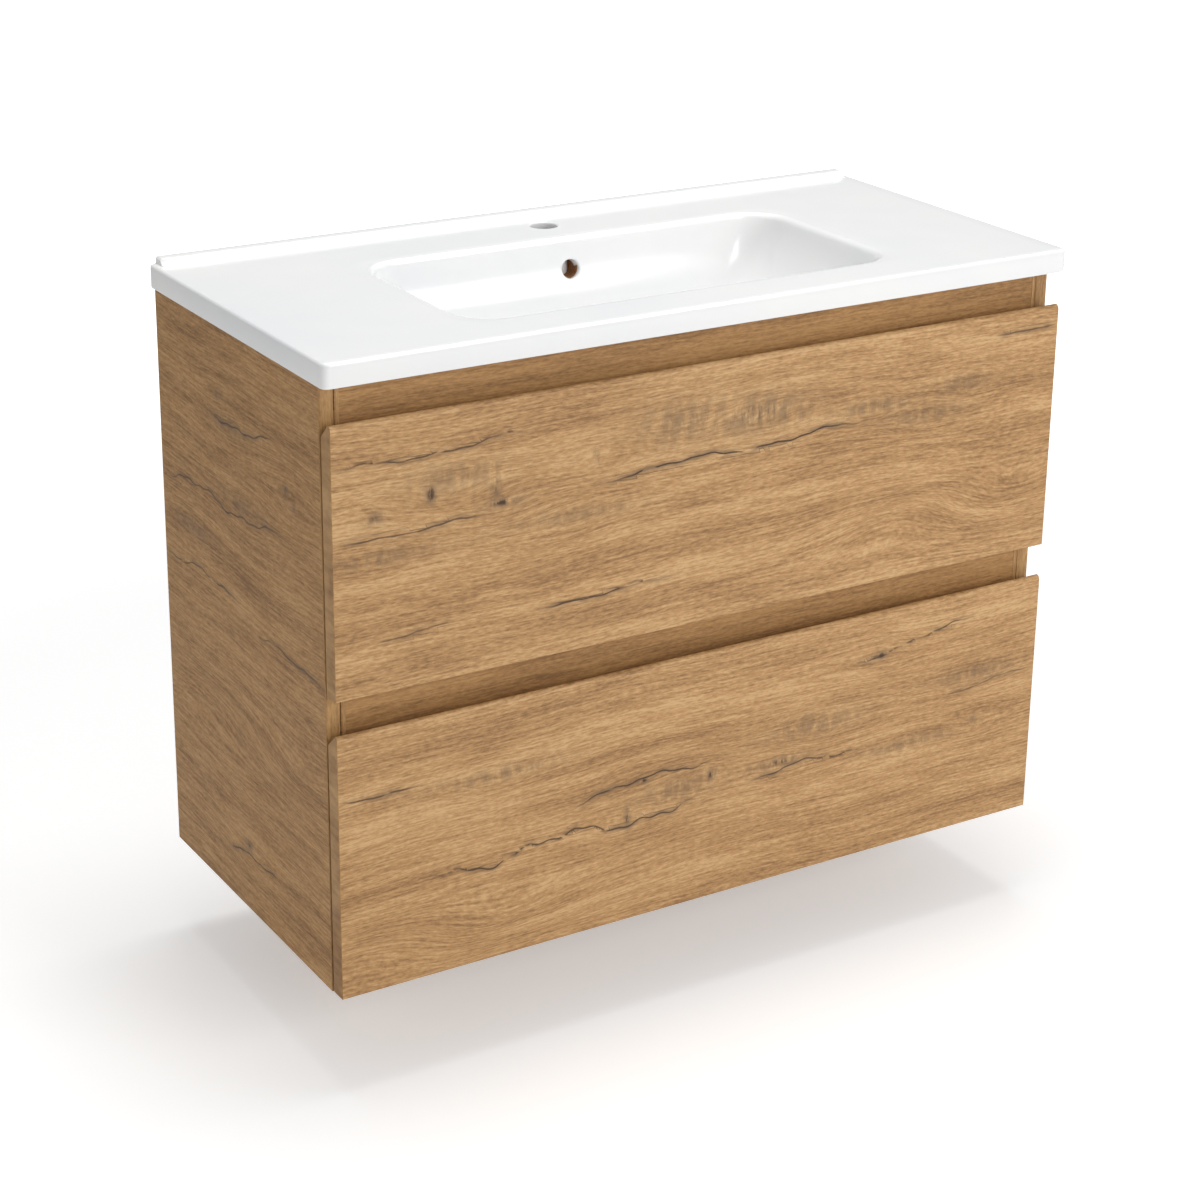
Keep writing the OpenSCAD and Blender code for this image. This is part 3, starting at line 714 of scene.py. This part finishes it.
@dataclass
class DrawerFront:
    """A drawer front whose top rolls back and falls away behind as a finger pull."""

    node: str
    body: str
    figure: Figure
    crest_back: float = 5.5 * MM
    bevel_drop: float = 15.5 * MM
    ease: float = 0.8 * MM
    step: float = 3.4 * MM

    def section(self, low: Vector, high: Vector) -> np.ndarray:
        """The front's outline seen from its end, as (y, z) points.

        Up the flat face, round the crest as a quarter circle of radius crest_back,
        down the bevel to the back, down the back and along the bottom.

        Args:
            low: lowest corner of the CAD front.
            high: highest corner of the CAD front.
        Returns:
            Closed outline, shape (points, 2).
        """
        shoulder = high.z - self.crest_back
        face = spaced(low.z + self.ease, shoulder, self.step)
        a = np.linspace(0, pi / 2, 9)[1:]
        crest = np.stack([low.y + self.crest_back * (1 - np.cos(a)),
                          shoulder + self.crest_back * np.sin(a)], 1)
        t = np.linspace(0, 1, 8)[1:, None]
        foot = np.array([high.y, high.z - self.bevel_drop])
        bevel = crest[-1] + (foot - crest[-1]) * t
        back = spaced(foot[1], low.z + self.ease, 12 * MM)[1:]
        under = spaced(high.y - self.ease, low.y + self.ease, 4 * MM)
        return np.concatenate([
            np.stack([np.full_like(face, low.y), face], 1), crest, bevel,
            np.stack([np.full_like(back, high.y), back], 1),
            np.stack([under, np.full_like(under, low.z)], 1)])

    def build(self, finishes: Finishes) -> bpy.types.Object:
        """Builds and dresses the front.

        Args:
            finishes: the unit's materials.
        Returns:
            The finished piece.
        """
        low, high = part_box(self.node)
        rings = carry(self.section(low, high), spaced(low.x, high.x, self.step), 0, self.ease)
        piece = loft(self.node + "_board", rings, wrap=False)
        points = rings.reshape(-1, 3)
        self.figure.lay(piece.data, (points[:, 0] - low.x) / MM, (points[:, 2] - low.z) / MM)
        paint_ends(piece, 0, finishes.front, finishes.edge)
        place_piece(piece, self.body, "oak_front", self.node)
        return piece


@dataclass
class SidePanel:
    """A side panel, 18 mm thick, with the figure on its outer face."""

    node: str
    outward: int
    figure: Figure
    ease: float = 0.8 * MM
    step: float = 4.0 * MM

    def section(self, low: Vector, high: Vector) -> np.ndarray:
        """The panel's outline seen from the front, as (x, z) points with eased corners.

        Args:
            low: lowest corner of the CAD panel.
            high: highest corner of the CAD panel.
        Returns:
            Closed outline, shape (points, 2).
        """
        outer, inner = (low.x, high.x) if self.outward < 0 else (high.x, low.x)
        inset = self.ease * (1 if self.outward < 0 else -1)
        up = spaced(low.z + self.ease, high.z - self.ease, self.step)
        down = spaced(high.z - self.ease, low.z + self.ease, 16 * MM)
        over = spaced(outer + inset, inner - inset, 4 * MM)
        return np.concatenate([
            np.stack([np.full_like(up, outer), up], 1),
            np.stack([over, np.full_like(over, high.z)], 1),
            np.stack([np.full_like(down, inner), down], 1),
            np.stack([over[::-1], np.full_like(over, low.z)], 1)])

    def build(self, finishes: Finishes) -> bpy.types.Object:
        """Builds and dresses the panel.

        Args:
            finishes: the unit's materials.
        Returns:
            The finished piece.
        """
        low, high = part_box(self.node)
        rings = carry(self.section(low, high), spaced(low.y, high.y, self.step), 1, self.ease)
        piece = loft(self.node + "_board", rings, wrap=False)
        points = rings.reshape(-1, 3)
        self.figure.lay(piece.data, (high.y - points[:, 1]) / MM, (points[:, 2] - low.z) / MM)
        # The side decor carries painted shade: it is the front's oak in darker tones.
        paint_ends(piece, 1, finishes.side, finishes.edge)
        place_piece(piece, "cabinet", "oak_side", self.node)
        return piece


@dataclass
class GripTrim:
    """The light strips of edge band that close the ends of the two grip rails."""

    width: float = 4.0 * MM
    proud: float = 0.4 * MM
    joint: float = 1.2 * MM
    ease: float = 0.15 * MM

    def build(self, finishes: Finishes) -> list[bpy.types.Object]:
        """Builds one strip at each end of each rail, on the rail's front face.

        Args:
            finishes: the unit's materials.
        Returns:
            The strips.
        """
        made = []
        for rail in ("top_grip_rail", "middle_grip_rail"):
            low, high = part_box(rail)
            for side, word in ((-1, "left"), (1, "right")):
                outer = side * (high.x - self.joint)
                centre = outer - side * self.width / 2
                outline = ring_rectangle(self.width / 2, self.proud, self.ease, 4, 2, 2)
                outline = outline + np.array([centre, low.y])
                heights = spaced(low.z + self.joint, high.z - self.joint, 20 * MM)
                rings = np.empty((len(heights), len(outline), 3))
                rings[:, :, :2] = outline[None]
                rings[:, :, 2] = heights[:, None]
                piece = loft(f"{rail}_end_strip_{word}", rings, wrap=False)
                piece.data.materials.append(finishes.edge)
                place_piece(piece, "cabinet", "oak_panel")
                made.append(piece)
        return made


# ---------------------------------------------------------------- basin

@dataclass
class Basin:
    """A slip-cast basin: a slab with a shelf each side of one sunk bowl, a tap hole,
    an overflow in the rear wall of the bowl and an upstand along the wall."""

    slab_under: float = 55 * MM
    deck: float = 84 * MM
    wall: float = 12 * MM
    slab_corner: float = 9 * MM
    slab_round: float = 4 * MM
    bowl_half: tuple[float, float] = (300 * MM, 145.5 * MM)
    bowl_y: float = -267.5 * MM
    bowl_corner: float = 58 * MM
    floor_half: tuple[float, float] = (211 * MM, 50 * MM)
    floor_top: float = -43 * MM
    lip: tuple[float, float, float] = (9 * MM, 5 * MM, 8 * MM)
    drain: float = 23 * MM
    horn: float = 34 * MM
    foot: float = -75 * MM
    tap_hole: tuple[float, float] = (17.5 * MM, -62 * MM)
    overflow: tuple[float, float] = (12 * MM, 43 * MM)
    rim_round: float = 2.6 * MM
    pipe: tuple[float, float, float, float] = (12 * MM, -98 * MM, 58 * MM, -63 * MM)

    def bowl_rings(self, gap: float, low: float, top: float) -> list[tuple[float, ...]]:
        """The bowl's wall as rings from its floor to its mouth.

        Half sizes grow as sin(a) from the floor's to the mouth's while the height grows
        as 1 - cos(a), a quarter ellipse that leaves the floor level and ends upright.

        Args:
            gap: how far outside the glazed face the surface lies.
            low: height of the floor.
            top: height where the wall ends.
        Returns:
            Rings as (half x, half y, corner radius, centre y, z).
        """
        rings = []
        for a in np.linspace(0.0, pi / 2, 22):
            half = [self.floor_half[k] + (self.bowl_half[k] - self.lip[k] - self.floor_half[k])
                    * sin(a) + gap for k in (0, 1)]
            corner = 60 * MM + (self.bowl_corner - 8 * MM - 60 * MM) * sin(a) + gap
            rings.append((half[0], half[1], corner, self.bowl_y,
                          low + (top - low) * (1 - cos(a))))
        return rings

    def rings(self, low: Vector, high: Vector) -> np.ndarray:
        """All rings of the skin, from the drain over the deck and back underneath.

        Args:
            low: lowest corner of the CAD basin.
            high: highest corner of the CAD basin.
        Returns:
            Rings of shape (rings, points, 3).
        """
        half_x, half_y = (high.x - low.x) / 2, (high.y - low.y) / 2
        middle = (high.y + low.y) / 2
        path: list[tuple[float, ...]] = []
        for z in (self.foot, -60 * MM, self.floor_top - 5 * MM):
            path.append((self.drain, self.drain, self.drain, self.bowl_y, z))
        for a in np.linspace(0.4, pi / 2, 4):
            r = self.drain + 4 * MM * (1 - cos(a))
            path.append((r, r, r, self.bowl_y, self.floor_top - 5 * MM * (1 - sin(a))))
        for t in np.linspace(0.12, 0.92, 9):
            half = [self.drain + (self.floor_half[k] - self.drain) * t for k in (0, 1)]
            corner = self.drain + (60 * MM - self.drain) * t
            path.append((half[0], half[1], corner, self.bowl_y, self.floor_top + 2 * MM * t))
        shoulder = self.deck - self.lip[2]
        path += self.bowl_rings(0.0, self.floor_top + 2 * MM, shoulder)
        for a in np.linspace(0, pi / 2, 10)[1:]:
            half = [self.bowl_half[k] - self.lip[k] * cos(a) for k in (0, 1)]
            corner = self.bowl_corner - 8 * MM * cos(a)
            path.append((half[0], half[1], corner, self.bowl_y, shoulder + self.lip[2] * sin(a)))
        edge = [half_x - self.slab_round, half_y - self.slab_round]
        for t in np.linspace(0.1, 1.0, 10):
            half = [self.bowl_half[k] + (edge[k] - self.bowl_half[k]) * t for k in (0, 1)]
            corner = self.bowl_corner + (self.slab_corner - self.slab_round
                                         - self.bowl_corner) * t
            path.append((half[0], half[1], corner, self.bowl_y + (middle - self.bowl_y) * t,
                         self.deck))
        for a in np.linspace(0, pi / 2, 7)[1:]:
            out = self.slab_round * sin(a)
            path.append((edge[0] + out, edge[1] + out, self.slab_corner - self.slab_round + out,
                         middle, self.deck - self.slab_round * (1 - cos(a))))
        for z, out in ((self.slab_under + 2 * MM, 0.0), (self.slab_under + 0.6 * MM, 0.6 * MM),
                       (self.slab_under, 2 * MM)):
            path.append((half_x - out, half_y - out, self.slab_corner - out, middle, z))
        roof = self.deck - self.wall
        for z, inset in ((self.slab_under, 23 * MM), (self.slab_under + 2 * MM, 24 * MM),
                         (roof, 25 * MM)):
            path.append((half_x - inset, half_y - inset, 6 * MM, middle, z))
        outside = self.bowl_rings(self.wall, self.floor_top - self.wall, roof)
        path += outside[::-1]
        for z in (self.floor_top - self.wall, self.foot):
            path.append((self.horn, self.horn, self.horn, self.bowl_y, z))
        made = []
        for hx, hy, radius, cy, z in path:
            flat = ring_rectangle(hx, hy, min(radius, hx, hy))
            made.append(np.column_stack([flat[:, 0], flat[:, 1] + cy, np.full(len(flat), z)]))
        return np.stack(made)

    def flared_pin(self, radius: float, length: float) -> np.ndarray:
        """A round cutter along +Z whose top flares as a quarter circle tangent to the
        surface, so that the hole it cuts has a rounded rim.

        Args:
            radius: hole radius.
            length: how far the pin reaches below the surface.
        Returns:
            Rings of shape (rings, points, 3), the surface at z = 0.
        """
        mouth = self.rim_round
        a = np.linspace(0, 2 * pi, 64, endpoint=False) + pi / 64
        bend = np.linspace(0, pi / 2 * 0.93, 8)
        heights = np.concatenate([[-length, -length / 2], -mouth + mouth * np.sin(bend), [4 * MM]])
        radii = np.concatenate([[radius, radius], radius + mouth * (1 - np.cos(bend)),
                                [radius + mouth]])
        return np.stack([np.column_stack([r * np.cos(a), r * np.sin(a), np.full(64, z)])
                         for r, z in zip(radii, heights)])

    def rear_wall_y(self, z: float) -> float:
        """Where the bowl's rear wall is, from the quarter ellipse.

        Args:
            z: height on the wall.
        Returns:
            The wall's Y there.
        """
        low, top = self.floor_top + 2 * MM, self.deck - self.lip[2]
        lift = np.clip((z - low) / (top - low), 0, 1)
        a = np.arccos(1 - lift)
        reach = self.bowl_half[1] - self.lip[1] - self.floor_half[1]
        return self.bowl_y + self.floor_half[1] + reach * float(np.sin(a))

    def cut(self, body: bpy.types.Object, rings: np.ndarray) -> None:
        """Cuts one hole and removes the cutter.

        Args:
            body: the piece to cut.
            rings: the cutter's rings.
        """
        cutter = loft("cutter", rings, wrap=False)
        made = body.modifiers.new("hole", "BOOLEAN")
        made.operation = "DIFFERENCE"
        made.solver = "EXACT"
        made.object = cutter
        bpy.context.view_layer.update()
        cut = bpy.data.meshes.new_from_object(body.evaluated_get(
            bpy.context.evaluated_depsgraph_get()))
        body.modifiers.clear()
        body.data = cut
        bpy.data.objects.remove(cutter)

    def upstand(self, low: Vector, high: Vector, finishes: Finishes) -> bpy.types.Object:
        """The upstand along the wall, with a cove that runs out onto the deck.

        The section goes up the back, round the top's two corners, down the front and
        along a cove whose height falls as (1 - t) squared.

        Args:
            low: lowest corner of the CAD basin.
            high: highest corner of the CAD basin.
            finishes: the unit's materials.
        Returns:
            The finished piece.
        """
        thick, corner, cove = 18 * MM, 2.5 * MM, 9 * MM
        a = np.linspace(0, pi / 2, 6)
        back = np.stack([high.y - corner + corner * np.cos(a),
                         high.z - corner + corner * np.sin(a)], 1)
        front = np.stack([high.y - thick + corner - corner * np.sin(a),
                          high.z - corner + corner * np.cos(a)], 1)
        t = np.linspace(0.15, 1, 8)
        drop = high.z - corner - self.deck
        run = np.stack([high.y - thick - cove * t, self.deck + drop * (1 - t) ** 2
                        - 0.15 * MM * t], 1)
        inside = np.array([[high.y - thick - cove, self.deck - 5 * MM],
                           [high.y, self.deck - 5 * MM]])
        section = np.concatenate([back, front, run, inside])
        stations = spaced(low.x + 9 * MM, high.x - 9 * MM, 12 * MM)
        piece = loft("basin_upstand", carry(section, stations, 0, 2 * MM), wrap=False)
        piece.data.materials.append(finishes.china)
        place_piece(piece, "cabinet", "glazed_ceramic")
        return piece

    def build(self, finishes: Finishes) -> list[bpy.types.Object]:
        """Builds the basin, its upstand and the unglazed water way.

        Args:
            finishes: the unit's materials.
        Returns:
            The pieces.
        """
        low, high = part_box("basin")
        body = loft("basin_body", self.rings(low, high), wrap=True)
        tap_radius, tap_y = self.tap_hole
        tap = self.flared_pin(tap_radius, 30 * MM)
        self.cut(body, tap + np.array([0.0, tap_y, self.deck]))
        radius, height = self.overflow
        face_y = self.rear_wall_y(height)
        pin = self.flared_pin(radius, 40 * MM)
        lean = float(np.arctan((self.rear_wall_y(height + MM) - face_y) / MM))
        turned = np.stack([pin[:, :, 0],
                           sin(lean) * pin[:, :, 1] - cos(lean) * pin[:, :, 2],
                           cos(lean) * pin[:, :, 1] + sin(lean) * pin[:, :, 2]], -1)
        self.cut(body, turned + np.array([0.0, face_y, height]))
        body.data.shade_smooth()
        body.data.set_sharp_from_angle(angle=0.7)
        body.data.materials.clear()
        body.data.materials.append(finishes.china)
        place_piece(body, "cabinet", "glazed_ceramic", "basin")
        return [body, self.upstand(low, high, finishes),
                self.water_way(face_y, radius, height, finishes), self.water_pipe(finishes)]

    def water_pipe(self, finishes: Finishes) -> bpy.types.Object:
        """The cast pipe that leads the overflow down behind the bowl to the drain.

        A circle carried down, round a quarter bend and forward to the drain's horn. Each
        ring spans X and the direction square to both X and the path's tangent.

        Args:
            finishes: the unit's materials.
        Returns:
            The finished piece.
        """
        radius, y, top, foot = self.pipe
        bend = 14 * MM
        a = np.linspace(0, pi / 2, 10)
        down = spaced(top, foot + bend, 15 * MM)[:-1]
        ahead = spaced(y - bend, self.bowl_y + self.horn - 4 * MM, 15 * MM)[1:]
        path = np.concatenate([
            np.stack([np.full_like(down, y), down], 1),
            np.stack([y - bend * (1 - np.cos(a)), foot + bend - bend * np.sin(a)], 1),
            np.stack([ahead, np.full_like(ahead, foot)], 1)])
        tangent = np.gradient(path, axis=0)
        tangent /= np.linalg.norm(tangent, axis=1)[:, None]
        sizes = np.full(len(path), radius)
        sizes[0] = radius - 3 * MM
        turn = np.linspace(0, 2 * pi, 32, endpoint=False)
        across = sizes[:, None] * np.cos(turn)
        out = sizes[:, None] * np.sin(turn)
        rings = np.stack([across, path[:, :1] - out * tangent[:, 1:],
                          path[:, 1:] + out * tangent[:, :1]], -1)
        piece = loft("overflow_pipe", rings, wrap=False)
        piece.data.materials.append(finishes.china)
        place_piece(piece, "cabinet", "glazed_ceramic")
        return piece

    def water_way(self, face_y: float, radius: float, height: float,
                  finishes: Finishes) -> bpy.types.Object:
        """The raw clay cup behind the overflow, seen through its mouth.

        Its skin runs down the inside of the cup, across its end, and back outside.

        Args:
            face_y: where the bowl's rear face is at the overflow.
            radius: the overflow's radius.
            height: the overflow's height.
            finishes: the unit's materials.
        Returns:
            The finished piece.
        """
        mouth, end, skin = face_y + 5 * MM, face_y + 30 * MM, 3 * MM
        a = np.linspace(0, 2 * pi, 48, endpoint=False)
        inner = radius - 0.3 * MM
        path = ((0.4 * MM, end - skin), (inner - 2 * MM, end - skin), (inner, end - skin - 2 * MM),
                (inner, mouth), (radius + 0.6 * MM, mouth), (radius + skin, mouth + 2 * MM),
                (radius + skin, end - 2 * MM), (radius + 1 * MM, end), (0.4 * MM, end))
        rings = np.stack([np.column_stack([r * np.cos(a), np.full(48, y),
                                           height + r * np.sin(a)]) for r, y in path])
        piece = loft("overflow_water_way", rings, wrap=False)
        piece.data.materials.append(finishes.clay)
        place_piece(piece, "cabinet", "glazed_ceramic")
        return piece


# ---------------------------------------------------------------- carried-over nodes

@dataclass
class CarriedNodes:
    """The CAD nodes that keep their shape, and the finish of each."""

    skip: tuple[str, ...] = ("upper_front", "lower_front", "side_panel_left",
                             "side_panel_right", "basin")

    def finish_of(self, node: str, finishes: Finishes) -> bpy.types.Material:
        """Picks a node's finish from its name.

        Args:
            node: the node's name.
            finishes: the unit's materials.
        Returns:
            Its material.
        """
        steel = ("screws", "bracket", "hanger", "wall_plate", "slide_", "carrier_", "rail_upper",
                 "rail_lower")
        if node == "panel_dowels":
            return finishes.dowel
        if "stops" in node:
            return finishes.rubber
        if any(word in node for word in steel):
            return finishes.steel
        if node.startswith(("upper_", "lower_", "trap_wall")):
            return finishes.drawer
        # Grip rails and carcass boards take the carcass decor, whose darker tones are painted
        # shade.
        return finishes.carcass

    def dress(self, finishes: Finishes) -> None:
        """Gives every carried-over node its finish and a small worn edge.

        Args:
            finishes: the unit's materials.
        """
        boards = {finishes.carcass, finishes.drawer}
        for name, node in sorted(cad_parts.items()):
            if name in self.skip:
                continue
            finish = self.finish_of(name, finishes)
            for holder in node.material_slots:
                holder.material = finish
            if finish in boards:
                weld = node.modifiers.new("weld", "WELD")
                weld.merge_threshold = 0.00002
                ease = node.modifiers.new("ease", "BEVEL")
                ease.width = 0.0005
                ease.segments = 2
                ease.limit_method = "ANGLE"
            LOG.info("%s dressed in %s", name, finish.name)


# ---------------------------------------------------------------- studio

@dataclass
class Studio:
    """A white floor and soft lamps: the key high on the front right, so that the fronts
    are brighter than the left side, and a weak fill all round."""

    floor_z: float = -0.80
    floor_half: float = 14.0
    fill: float = 0.40

    def lamp(self, name: str, place: tuple[float, float, float], size: float,
             watts: float) -> None:
        """Adds one square area lamp aimed at the unit's middle.

        Args:
            name: the lamp's name.
            place: where it stands, in metres.
            size: its side, in metres.
            watts: its power.
        """
        data = bpy.data.lights.new(name, "AREA")
        data.shape = "SQUARE"
        data.size = size
        data.energy = watts
        made = bpy.data.objects.new(name, data)
        made.location = place
        aim = Vector((0.0, -0.24, -0.3)) - Vector(place)
        made.rotation_euler = aim.to_track_quat("-Z", "Y").to_euler()
        bpy.context.scene.collection.objects.link(made)

    def world(self) -> None:
        """Sets an even fill, seen as plain white by the camera and through glass."""
        made = bpy.data.worlds.new("studio")
        made.use_nodes = True
        tree = made.node_tree
        background = tree.nodes["Background"]
        background.inputs["Color"].default_value = (1.0, 1.0, 1.0, 1.0)
        path = add(tree, "LightPath")
        seen = math(tree, "MAXIMUM", path.outputs["Is Camera Ray"],
                    path.outputs["Is Transmission Ray"])
        strength = add(tree, "MapRange", {"To Min": self.fill, "To Max": 1.0}, {"Value": seen})
        tree.links.new(strength.outputs[0], background.inputs["Strength"])
        bpy.context.scene.world = made

    def floor(self) -> None:
        """Lays the floor: white board, lifted to plain white where nothing shades it."""
        side = np.array([-1.0, 1.0]) * self.floor_half
        grid = np.array([[x, y, self.floor_z] for y in side for x in side])
        mesh = bpy.data.meshes.new("floor")
        mesh.from_pydata(grid.tolist(), [], [[0, 1, 3, 2]])
        made = bpy.data.objects.new("floor", mesh)
        bpy.context.scene.collection.objects.link(made)
        material, tree, shader = new_material("painted_studio_floor")
        shader.inputs["Base Color"].default_value = linear("#F2F2F2")
        shader.inputs["Roughness"].default_value = 1.0
        shader.inputs["Specular IOR Level"].default_value = 0.0
        place = add(tree, "TexCoord").outputs["Object"]
        flat = add(tree, "VectorMath", {"operation": "LENGTH"}, {0: place}).outputs["Value"]
        lift = step_range(tree, flat, 1.2, 3.0, 0.30, 1.0)
        path = add(tree, "LightPath")
        shown = math(tree, "MULTIPLY", lift, path.outputs["Is Camera Ray"])
        shader.inputs["Emission Color"].default_value = (1.0, 1.0, 1.0, 1.0)
        tree.links.new(shown, shader.inputs["Emission Strength"])
        mesh.materials.append(material)

    def build(self) -> None:
        """Builds the lamps, the world and the floor."""
        self.world()
        self.floor()
        self.lamp("key", (1.5, -4.1, 1.1), 2.0, 84.0)
        self.lamp("overhead", (0.1, -0.1, 2.9), 1.7, 62.0)
        self.lamp("left_fill", (-3.2, -1.2, 0.6), 2.0, 9.0)
        bpy.context.scene.view_settings.view_transform = "Standard"


@dataclass
class ViewCamera:
    """The camera: a long lens, high on the unit's left front."""

    place: tuple[float, float, float] = (-1.648, -2.892, 0.893)
    heading: float = 0.5503
    tilt: float = 0.3375
    roll: float = 0.0126
    lens_mm: float = 79.8
    shift_up: float = -0.1

    def build(self) -> bpy.types.Object:
        """Builds the camera. It looks along (sin h cos t, cos h cos t, -sin t), and its
        right and up directions are turned about that line by the roll.

        Returns:
            The camera.
        """
        forward = Vector((sin(self.heading) * cos(self.tilt),
                          cos(self.heading) * cos(self.tilt), -sin(self.tilt)))
        level = Vector((cos(self.heading), -sin(self.heading), 0.0))
        upright = level.cross(forward)
        right = cos(self.roll) * level + sin(self.roll) * upright
        up = cos(self.roll) * upright - sin(self.roll) * level
        data = bpy.data.cameras.new("view")
        data.sensor_width = 36.0
        data.lens = self.lens_mm
        data.shift_y = self.shift_up
        made = bpy.data.objects.new("view", data)
        turn = Matrix((right, up, -forward)).transposed().to_4x4()
        made.matrix_world = Matrix.Translation(self.place) @ turn
        bpy.context.scene.collection.objects.link(made)
        bpy.context.scene.camera = made
        return made


def main() -> None:
    """Builds the unit, its studio and its camera in order."""
    logging.basicConfig(level=logging.INFO, format="%(name)s: %(message)s")
    finishes = Finishes()
    ViewCamera().build()
    Studio().build()
    DrawerFront("upper_front", "upper_drawer", UPPER_FIGURE).build(finishes)
    DrawerFront("lower_front", "lower_drawer", LOWER_FIGURE).build(finishes)
    SidePanel("side_panel_left", -1, SIDE_FIGURE).build(finishes)
    SidePanel("side_panel_right", 1, SIDE_FIGURE).build(finishes)
    GripTrim().build(finishes)
    Basin().build(finishes)
    CarriedNodes().dress(finishes)


if __name__ == "__main__":
    main()
